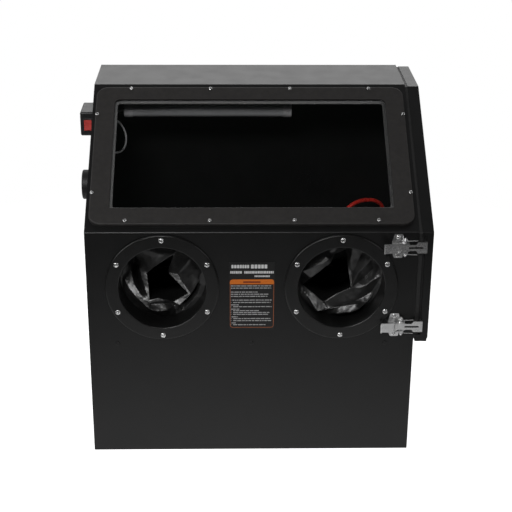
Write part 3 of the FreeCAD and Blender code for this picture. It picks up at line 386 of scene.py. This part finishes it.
def add_world():
    """White all round to the eye, but as light only a backdrop behind the object and a dim room."""
    world = bpy.data.worlds.new("studio")
    world.use_nodes = True
    tree = world.node_tree
    tree.nodes.clear()

    def node(kind, **settings):
        made = tree.nodes.new(kind)
        for key, value in settings.items():
            setattr(made, key, value)
        return made
    coords = node("ShaderNodeTexCoord")
    split = node("ShaderNodeSeparateXYZ")
    tree.links.new(coords.outputs["Generated"], split.inputs[0])
    behind = node("ShaderNodeMapRange")
    for socket, value in (("From Min", -0.1), ("From Max", 0.6), ("To Min", 0.02), ("To Max", 0.45)):
        behind.inputs[socket].default_value = value
    tree.links.new(split.outputs["Y"], behind.inputs["Value"])
    seen = node("ShaderNodeLightPath")
    strength = node("ShaderNodeMix", data_type="FLOAT")
    strength.inputs["B"].default_value = 1.0
    tree.links.new(seen.outputs["Is Camera Ray"], strength.inputs["Factor"])
    tree.links.new(behind.outputs["Result"], strength.inputs["A"])
    background = node("ShaderNodeBackground")
    background.inputs["Color"].default_value = (1, 1, 1, 1)
    tree.links.new(strength.outputs["Result"], background.inputs["Strength"])
    output = node("ShaderNodeOutputWorld")
    tree.links.new(background.outputs[0], output.inputs[0])
    scene.world = world


def add_floor():
    """A white table top that fades into the white around it."""
    look = Look("floor", (0.8, 0.8, 0.8), 0.9)
    look.shader.inputs["Emission Color"].default_value = (1, 1, 1, 1)
    seen = look.node("ShaderNodeLightPath").outputs["Is Camera Ray"]
    look.wire(look.between(seen, 0, 1, FLOOR_GLOW, 1.0), look.shader.inputs["Emission Strength"])
    away = look.node("ShaderNodeVectorMath", operation="LENGTH")
    look.wire(look.place, away.inputs[0])
    fade = look.between(away.outputs["Value"], FLOOR_SOLID, FLOOR_RADIUS, 1, 0)
    look.wire(fade, look.shader.inputs["Alpha"])
    bm = bmesh.new()
    bmesh.ops.create_circle(bm, cap_ends=True, radius=FLOOR_RADIUS, segments=96)
    floor = mesh_piece("floor", bm, [look.material])
    floor.location.z = -0.5 * MM


add_camera()
add_world()
add_floor()
add_softbox("softbox_left", (-2.2, -0.9, 1.6), (0, 0, 0.3), 1.0, 1.4, 16)
add_softbox("softbox_right", (2.2, -0.9, 1.6), (0, 0, 0.3), 1.0, 1.4, 8)
add_softbox("softbox_front", (-0.6, -2.35, 2.15), (0, -0.2, 0.35), 0.9, 0.5, 27)
add_softbox("softbox_back", (0, 2.2, 1.7), (0, 0, 0.3), 2.4, 1.0, 13)


# ---- gloves ----
# Folds of the twisted sleeves, in millimetres: across and up from the middle of the port, and depth
# behind the front panel. Those that start with n go once round the hole in the middle of the twist, and
# the rim, of which rim0 lies to the right, is where the sleeve goes round the end of the collar.
COLLAR_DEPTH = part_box("glove_ring_left")[1].y - PANEL_Y
RIM_COUNT = 24
RIM_R = 0.0772
CUFF_R = 0.0792
CUFF_DEPTH = 0.030
CUFF_CREASE = 0.8
FABRIC_THICK = 1.2 * MM
RIM_SPREAD = 84    # radius at which the rim's corners lie in the plane of the folds, mm
FOLD_RISE = 0.43   # how far up a fold lies in that plane for each millimetre of depth
LEFT_DRIFT = 0.057   # and how far across, for each glove
RIGHT_DRIFT = -0.097

LEFT_FOLDS = {
    "n1": (-30, 6, 52), "n2": (-27, -16, 42), "n3": (-25, -39, 31), "n4": (-8, -35, 32),
    "n5": (8, -41, 36), "n6": (17, -48, 44), "n7": (44, -35, 53), "n8": (7, -5, 78), "n9": (20, 50, 34),
    "n10": (-5, 32, 36), "a1": (-42, 26, 58), "a2": (-50, 47, 50), "e1": (-7, 48, 36), "f1": (26, 54, 38),
    "g1": (43, 15, 84), "h1": (24, -8, 76), "h2": (62, 9, 57), "i1": (62, -12, 52), "j1": (48, -37, 51),
    "k1": (28, -53, 40), "v1": (54, -38, 70), "v2": (40, -53, 66), "v3": (60, -26, 72),
    "r1": (65, -1, 51), "r2": (66, -19, 51), "r3": (61, -34, 50), "r4": (51, -48, 48),
    "r5": (32, -68, 46), "m1": (19, -61, 44), "d1": (-24, -42, 29), "d2": (2, -39, 31),
    "d3": (1, -47, 35), "d4": (-23, -48, 34), "d5": (-25, -53, 24), "d6": (-10, -58, 25),
    "d7": (6, -57, 28), "d8": (19, -54, 46), "l1": (-73, 0, 50), "l2": (-63, -18, 42),
    "l3": (-47, -35, 32), "p1": (-60, 17, 60), "p2": (-53, -13, 45), "p3": (-39, -32, 34),
    "w1": (-43, 13, 57), "w2": (-37, -9, 47), "w3": (-30, -28, 36), "x1": (-55, 10, 82),
    "x2": (-48, -20, 78), "x3": (-36, -37, 60),
}
LEFT_LINES = ["rim9 a2 a1 n1", "rim5 e1 n1", "rim4 f1 n9", "n8 h1 h2 rim1", "h1 j1 k1", "n7 j1", "h2 i1 j1",
              "rim1 r1 r2 r3 r4 r5 rim19", "v3 v1 v2", "d1 d2", "d4 d3", "d5 d6 d7", "n3 d1 d4 d5",
              "n4 d2 d3 d7", "n6 d8", "rim12 l1 l2 l3 d5", "p1 p2 p3", "x1 x2 x3", "w1 w2 w3 n3", "n6 k1"]
RIGHT_FOLDS = {
    "n1": (-65, -21, 58), "n2": (-52, 2, 36), "n3": (-18, 30, 38), "n4": (-9, 43, 50), "n5": (13, 45, 66),
    "n6": (16, 17, 62), "n7": (22, -21, 44), "n8": (-2, -32, 43), "n9": (-29, -47, 41),
    "c1": (-67, 17, 31), "c2": (-54, 30, 35), "c3": (-37, 41, 38), "c5": (-36, 28, 32),
    "c6": (-20, 38, 35), "c7": (-22, 51, 41), "c8": (-4, 55, 42), "q1": (23, 47, 54), "q2": (21, 30, 56),
    "q3": (40, 40, 58), "q4": (25, 4, 56), "q5": (57, 35, 46), "q6": (34, 5, 48), "q7": (65, 9, 62),
    "q8": (46, -8, 60), "q9": (71, 8, 52), "f1": (-25, -46, 38), "f2": (-2, -38, 42), "f3": (21, -29, 43),
    "f4": (46, -19, 45), "f5": (62, -7, 47), "g1": (-16, -53, 36), "g2": (6, -52, 41),
    "g3": (31, -49, 45), "g4": (59, -33, 50), "g5": (71, -12, 50), "h1": (-54, -40, 45),
    "h2": (-39, -62, 32), "h3": (-21, -57, 34), "h4": (-4, -55, 33), "h5": (17, -51, 33),
    "h6": (34, -49, 33), "h7": (-4, -64, 27), "h8": (20, -62, 27), "h9": (36, -56, 29),
    "k1": (48, -51, 40), "k2": (63, -39, 48),
}
RIGHT_LINES = ["rim12 n1", "rim11 c1 n2", "c1 c5 c6 n4", "c2 c3 c6", "rim5 q1 q2 n6", "rim4 q3 q4 n7",
               "rim3 q5 q6 n7", "q7 q8 n7", "rim0 f5 f4 f3 f2 f1 n9", "f1 g1", "g1 g2 g3 g4 g5",
               "n1 h1 h2 h3 n9", "h2 h4 h5 h6", "h7 h8 h9 k1 k2"]
# the sleeve behind the twist: depth, height, half width, half height
SLEEVE_ROWS = [(122, -34, 40, 34), (150, -34, 52, 40), (180, -50, 51, 35), (212, -70, 44, 27),
               (236, -82, 39, 22)]


def fold_place(point):
    """Across, up and depth in millimetres, to metres about the middle of a port."""
    return Vector((point[0] * MM, PANEL_Y + point[2] * MM, PORT_Z + point[1] * MM))


def seen_from_outside(point, drift):
    """Where a fold lies in the plane that the folds are spread out in."""
    return Vector((point[0] + drift * point[2], point[1] + FOLD_RISE * point[2]))


def sleeve_mesh(folds, lines, drift):
    """Sleeve as flat facets between the folds, with the folds as creases, from the cuff to the wrist."""
    names = ["rim%d" % i for i in range(RIM_COUNT)]
    turns = [2 * pi * i / RIM_COUNT for i in range(RIM_COUNT)]
    depth = (COLLAR_DEPTH + 0.001) / MM
    flat = [seen_from_outside((RIM_SPREAD * cos(t), RIM_SPREAD * sin(t), depth), drift) for t in turns]
    places = [fold_place((RIM_R / MM * cos(t), RIM_R / MM * sin(t), depth)) for t in turns]
    names += folds
    flat += [seen_from_outside(p, drift) for p in folds.values()]
    places += [fold_place(p) for p in folds.values()]
    index = {name: i for i, name in enumerate(names)}
    neck = [index[name] for name in folds if name.startswith("n")]
    edges = [(i, (i + 1) % RIM_COUNT) for i in range(RIM_COUNT)]
    creases = list(zip(neck, neck[1:] + neck[:1]))
    for line in lines:
        run = [index[name] for name in line.split()]
        creases += zip(run, run[1:])
    middle = sum((flat[i] for i in neck), Vector((0, 0))) / len(neck)
    spin = 1 if (flat[neck[0]] - middle).cross(flat[neck[1]] - middle) > 0 else -1
    out = geometry.delaunay_2d_cdt(flat, edges + creases, [neck[::spin]], 0, 1e-4)
    assert len(out[0]) == len(flat), "two fold lines cross"

    bm = bmesh.new()
    crease = bm.edges.layers.float.new("crease_edge")
    corner = bm.verts.layers.float.new("crease_vert")
    verts = [bm.verts.new(place) for place in places]
    for face, came_from in zip(out[2], out[5]):
        if not came_from:
            bm.faces.new([verts[i] for i in face])
    for a, b in creases:
        verts[a][corner] = verts[b][corner] = 1.0
        edge = bm.edges.get((verts[a], verts[b]))
        if edge:
            edge[crease] = 1.0

    def next_row(row, targets, sharp, material=0):
        made = [bm.verts.new(target) for target in targets]
        for i, vert in enumerate(row):
            j = (i + 1) % len(row)
            bm.faces.new([vert, row[j], made[j], made[i]]).material_index = material
            bm.edges.get((made[i], made[j]))[crease] = sharp
        return made

    row = verts[:RIM_COUNT]
    for radius, back in ((CUFF_R, depth * MM), (CUFF_R, CUFF_DEPTH)):
        ring = [fold_place((radius / MM * cos(t), radius / MM * sin(t), back / MM)) for t in turns]
        row = next_row(row, ring, CUFF_CREASE)

    start = (flat[neck[0]] - middle).angle_signed(Vector((1, 0)))
    row = [verts[i] for i in neck]
    for back, height, half_x, half_z in SLEEVE_ROWS:
        around = [start + spin * 2 * pi * i / len(neck) for i in range(len(neck))]
        ring = [fold_place((half_x * cos(t), height + half_z * sin(t), back)) for t in around]
        # material 1 is the near-black painted shade for the sleeve behind the twist
        row = next_row(row, ring, 0.0, 1)
    bmesh.ops.recalc_face_normals(bm, faces=bm.faces)
    return bm


def settled(piece):
    """Make the modifiers of a piece part of its mesh."""
    baked = bpy.data.meshes.new_from_object(piece.evaluated_get(bpy.context.evaluated_depsgraph_get()))
    piece.modifiers.clear()
    piece.data = baked


def crumple(piece, size, depth, seed):
    """Move the points along their normals by noise whose blobs are about size across."""
    offset = Vector((seed, seed * 0.7, -seed))
    moves = [v.normal * noise.fractal(v.co / size + offset, 0.8, 2.1, 3) * depth for v in piece.data.vertices]
    for vert, move in zip(piece.data.vertices, moves):
        vert.co += move


def capsule(bm, path, radii, flatten=1.0):
    """Closed tube with round ends along a path."""
    segments = 14
    rings = []
    for i, (place, radius) in enumerate(zip(path, radii)):
        ahead = Vector(path[min(i + 1, len(path) - 1)]) - Vector(path[max(i - 1, 0)])
        side = ahead.cross(Vector((0, 0, 1))).normalized()
        up = side.cross(ahead).normalized()
        rings.append([bm.verts.new(Vector(place) + side * radius * cos(t) + up * radius * flatten * sin(t))
                      for t in (2 * pi * k / segments for k in range(segments))])
    for a, b in zip(rings, rings[1:]):
        for k in range(segments):
            bm.faces.new([a[k], a[(k + 1) % segments], b[(k + 1) % segments], b[k]])
    for ring, place, toward in ((rings[0], path[0], path[1]), (rings[-1], path[-1], path[-2])):
        radius = radii[0] if ring is rings[0] else radii[-1]
        tip = bm.verts.new(Vector(place) + (Vector(place) - Vector(toward)).normalized() * radius * 0.8)
        for k in range(segments):
            bm.faces.new([ring[k], ring[(k + 1) % segments], tip])


# across at the knuckle and at the tip, from the middle of the hand, depth of the tip, radius
FINGERS = [
    (-29, -26, 306, 8.5), (-10, -9, 324, 9.5), (10, 9, 326, 9.5), (28, 24, 312, 9.0),
]


def hand_mesh(side):
    bm = bmesh.new()

    def at(x, depth, z):
        return fold_place((x, z, depth))
    capsule(bm, [at(0, 214, -72), at(0, 236, -84), at(0, 256, -92), at(0, 274, -96)],
            [0.034, 0.036, 0.037, 0.035], 0.52)
    for root, tip, reach, radius in FINGERS:
        r = radius * MM
        middle = (root + tip) / 2
        finger = [at(root, 262, -96), at(root, 282, -98), at(middle, reach - 22, -104),
                  at(tip, reach - 6, -108.5)]
        capsule(bm, finger, [r * 1.1, r * 1.08, r, r * 0.84])
    thumb = [at(side * -24, 232, -88), at(side * -36, 252, -96), at(side * -38, 276, -106),
             at(side * -33, 292, -108)]
    capsule(bm, thumb, [0.011, 0.0112, 0.0105, 0.009])
    bmesh.ops.recalc_face_normals(bm, faces=bm.faces)
    return bm


def add_glove(side, folds, lines, drift):
    name = "left" if side < 0 else "right"
    bm = sleeve_mesh(folds, lines, drift)
    sleeve = mesh_piece("glove_sleeve_" + name, bm, [GLOVE_FABRIC, GLOVE_PAINTED_SHADE])
    smooth = sleeve.modifiers.new("smooth", "SUBSURF")
    smooth.levels = smooth.render_levels = 4
    settled(sleeve)
    crumple(sleeve, 22 * MM, 0.9 * MM, 3.1 + side)
    thick = sleeve.modifiers.new("thick", "SOLIDIFY")
    thick.thickness = FABRIC_THICK
    thick.offset = 0

    hand = mesh_piece("glove_hand_" + name, hand_mesh(side), [GLOVE_FABRIC])
    joined = hand.modifiers.new("joined", "REMESH")
    joined.mode = "VOXEL"
    joined.voxel_size = 2.4 * MM
    soft = hand.modifiers.new("soft", "SMOOTH")
    soft.iterations = 6
    settled(hand)
    crumple(hand, 18 * MM, 1.2 * MM, 11.3 + side)
    crumple(hand, 6 * MM, 0.4 * MM, 5.9 + side)
    for piece in (sleeve, hand):
        piece.data.shade_smooth()
        piece.location.x = side * PORT_X
        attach(piece, "cabinet")
        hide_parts("glove_" + name)


add_glove(-1, LEFT_FOLDS, LEFT_LINES, LEFT_DRIFT)
add_glove(1, RIGHT_FOLDS, RIGHT_LINES, RIGHT_DRIFT)


# ---- label print ----
LABEL_FACE_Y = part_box("label_plate")[0].y
# left end, right end and height of the middle of each line of print, in millimetres, and for those of
# the heading how tall they are
LABEL_HEADING = [(-36, -3.5, 370.2, 6.4), (-1.8, 27.5, 370.2, 7.4), (-38, -16, 359.2, 4.8),
                 (-13.5, 38, 359.2, 4.8), (4.5, 31.5, 351.7, 3.4)]
LABEL_ROWS = [(-37, 34, 333.1), (-37, 34, 328.9), (-37, 11, 321.2), (-37, 29, 317), (-37, 27.5, 312.9),
              (-34.5, 35, 305.6), (-33, 33, 301), (-37, -22.5, 296.3), (-33, 35, 292.7), (-37, -22, 288),
              (-33, 12.5, 284.9), (-33, 33, 281.3), (-33, 29.5, 277.7), (-36, -25, 272.8), (-33, 33, 269.4),
              (-33, 34.5, 265.3), (-36, -28, 260.8), (-33, 24.5, 257.3)]
LABEL_BAND = (-38.6, 39.0, 336.2, 345.6)
LABEL_BORDER_LOW = 251.6
LABEL_INDENT = -35   # a row that starts to the right of this has a bullet
WHITE, ORANGE, GREY, BROWN, RUST = range(5)


def rounded_corners(x0, x1, z0, z1, radii, steps=5):
    """Outline of a rectangle in millimetres, its corners rounded from the lower left one on."""
    outline = []
    corners = ((x0, z0, 1, 1, pi), (x1, z0, -1, 1, 1.5 * pi), (x1, z1, -1, -1, 0), (x0, z1, 1, -1, 0.5 * pi))
    for (x, z, inward, upward, start), r in zip(corners, radii):
        for k in range(steps + 1):
            t = start + 0.5 * pi * k / steps
            outline.append((x + inward * r + r * cos(t), z + upward * r + r * sin(t)))
    return outline


def print_face(bm, outline, ink, lift=0.03):
    y = LABEL_FACE_Y - lift * MM
    face = bm.faces.new([bm.verts.new((x * MM, y, z * MM)) for x, z in outline])
    face.material_index = ink


def add_label_print():
    """Heading bars, an orange band over a bordered panel, and rows of word-like bars: nothing to read."""
    bm = bmesh.new()
    spread = random.Random(12)
    for x0, x1, z, tall in LABEL_HEADING:
        low, high = z - tall / 2, z + tall / 2
        while x0 < x1 - 1.5:
            wide = min(spread.uniform(2.6, 4.2) * tall / 5.5, x1 - x0)
            print_face(bm, rounded_corners(x0, x0 + wide, low, high, [tall * 0.14] * 4), WHITE)
            x0 += wide + tall * 0.13
    for x0, x1, z in LABEL_ROWS:
        if x0 > LABEL_INDENT:
            print_face(bm, rounded_corners(-37.2, -36, z - 0.6, z + 0.6, [0.55] * 4), GREY)
        while x0 < x1 - 1.0:
            wide = min(spread.uniform(2.2, 9.5), x1 - x0)
            print_face(bm, rounded_corners(x0, x0 + wide, z - 0.82, z + 0.82, [0.35] * 4), GREY)
            x0 += wide + 1.1
    x0, x1, z0, z1 = LABEL_BAND
    print_face(bm, rounded_corners(x0, x1, z0, z1, [0.1, 0.1, 5, 5]), ORANGE)
    print_face(bm, rounded_corners(-15.5, 15.2, 338.6, 342.2, [0.8] * 4), BROWN, 0.06)
    outer = rounded_corners(x0, x1, LABEL_BORDER_LOW, z0 + 1, [5, 5, 0.1, 0.1])
    inner = rounded_corners(x0 + 0.9, x1 - 0.9, LABEL_BORDER_LOW + 0.9, z0 + 0.9, [4.1, 4.1, 0.1, 0.1])
    y = LABEL_FACE_Y - 0.02 * MM
    rings = [[bm.verts.new((x * MM, y, z * MM)) for x, z in ring] for ring in (outer, inner)]
    for i in range(len(outer)):
        j = (i + 1) % len(outer)
        bm.faces.new([rings[0][i], rings[0][j], rings[1][j], rings[1][i]]).material_index = RUST
    inks = [flat_ink("ink_white", (0.8, 0.8, 0.8)), flat_ink("ink_orange", (0.82, 0.2, 0.015)),
            flat_ink("ink_grey", (0.5, 0.5, 0.5)), flat_ink("ink_brown", (0.3, 0.05, 0.006)),
            flat_ink("ink_rust", (0.42, 0.12, 0.04))]
    piece = mesh_piece("label_print", bm, inks)
    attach(piece, "cabinet")


add_label_print()


# ---- hoses and lead ----
def cord_curve(name, route, radius, material):
    """A round cord whose smooth line has the route's points as its control points."""
    data = bpy.data.curves.new(name, "CURVE")
    data.dimensions = "3D"
    data.bevel_depth = radius
    data.bevel_resolution = 6
    data.resolution_u = 12
    data.use_fill_caps = True
    spline = data.splines.new("NURBS")
    spline.points.add(len(route) - 1)
    for point, place in zip(spline.points, route):
        point.co = (*place, 1)
    spline.order_u = 3
    spline.use_endpoint_u = True
    data.materials.append(material)
    return link(bpy.data.objects.new(name, data))


AIR_HOSE_ROUTE = [
    (0.281, 0.196, 0.284), (0.281, 0.189, 0.322), (0.259, 0.171, 0.351), (0.213, 0.152, 0.354),
    (0.181, 0.138, 0.322), (0.162, 0.128, 0.280), (0.146, 0.124, 0.242), (0.118, 0.130, 0.216),
    (0.082, 0.142, 0.2154), (0.046, 0.136, 0.2154), (0.023, 0.108, 0.2154), (0.018, 0.076, 0.219),
    (0.020, 0.048, 0.2252),
]
SUCTION_HOSE_ROUTE = [
    (0.046, -0.070, 0.2252), (0.074, -0.072, 0.220), (0.096, -0.054, 0.2175), (0.101, -0.022, 0.217),
    (0.096, 0.008, 0.221), (0.084, 0.034, 0.229),
]
LEAD_ROUTE = [
    (-0.281, 0.084, 0.552), (-0.263, 0.084, 0.550), (-0.246, 0.083, 0.540), (-0.236, 0.081, 0.520),
    (-0.236, 0.079, 0.499), (-0.245, 0.077, 0.484), (-0.260, 0.074, 0.482), (-0.271, 0.071, 0.494),
    (-0.274, 0.069, 0.514), (-0.272, 0.069, 0.536), (-0.265, 0.072, 0.554), (-0.252, 0.076, 0.564),
    (-0.237, 0.078, 0.5665),
]


def add_cords():
    air = cord_curve("red_air_hose", AIR_HOSE_ROUTE, 4 * MM, HOSE_RED)
    suction = cord_curve("suction_line", SUCTION_HOSE_ROUTE, 5 * MM, HOSE_BLACK)
    lead = cord_curve("lamp_cable", LEAD_ROUTE, 2 * MM, LEAD_PVC)
    for piece, node, slot in ((air, "air_hose", "hose_red"), (suction, "suction_hose", "hose_black"),
                              (lead, "lamp_lead", "lead_pvc")):
        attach(piece, "cabinet")
        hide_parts(node)


add_cords()
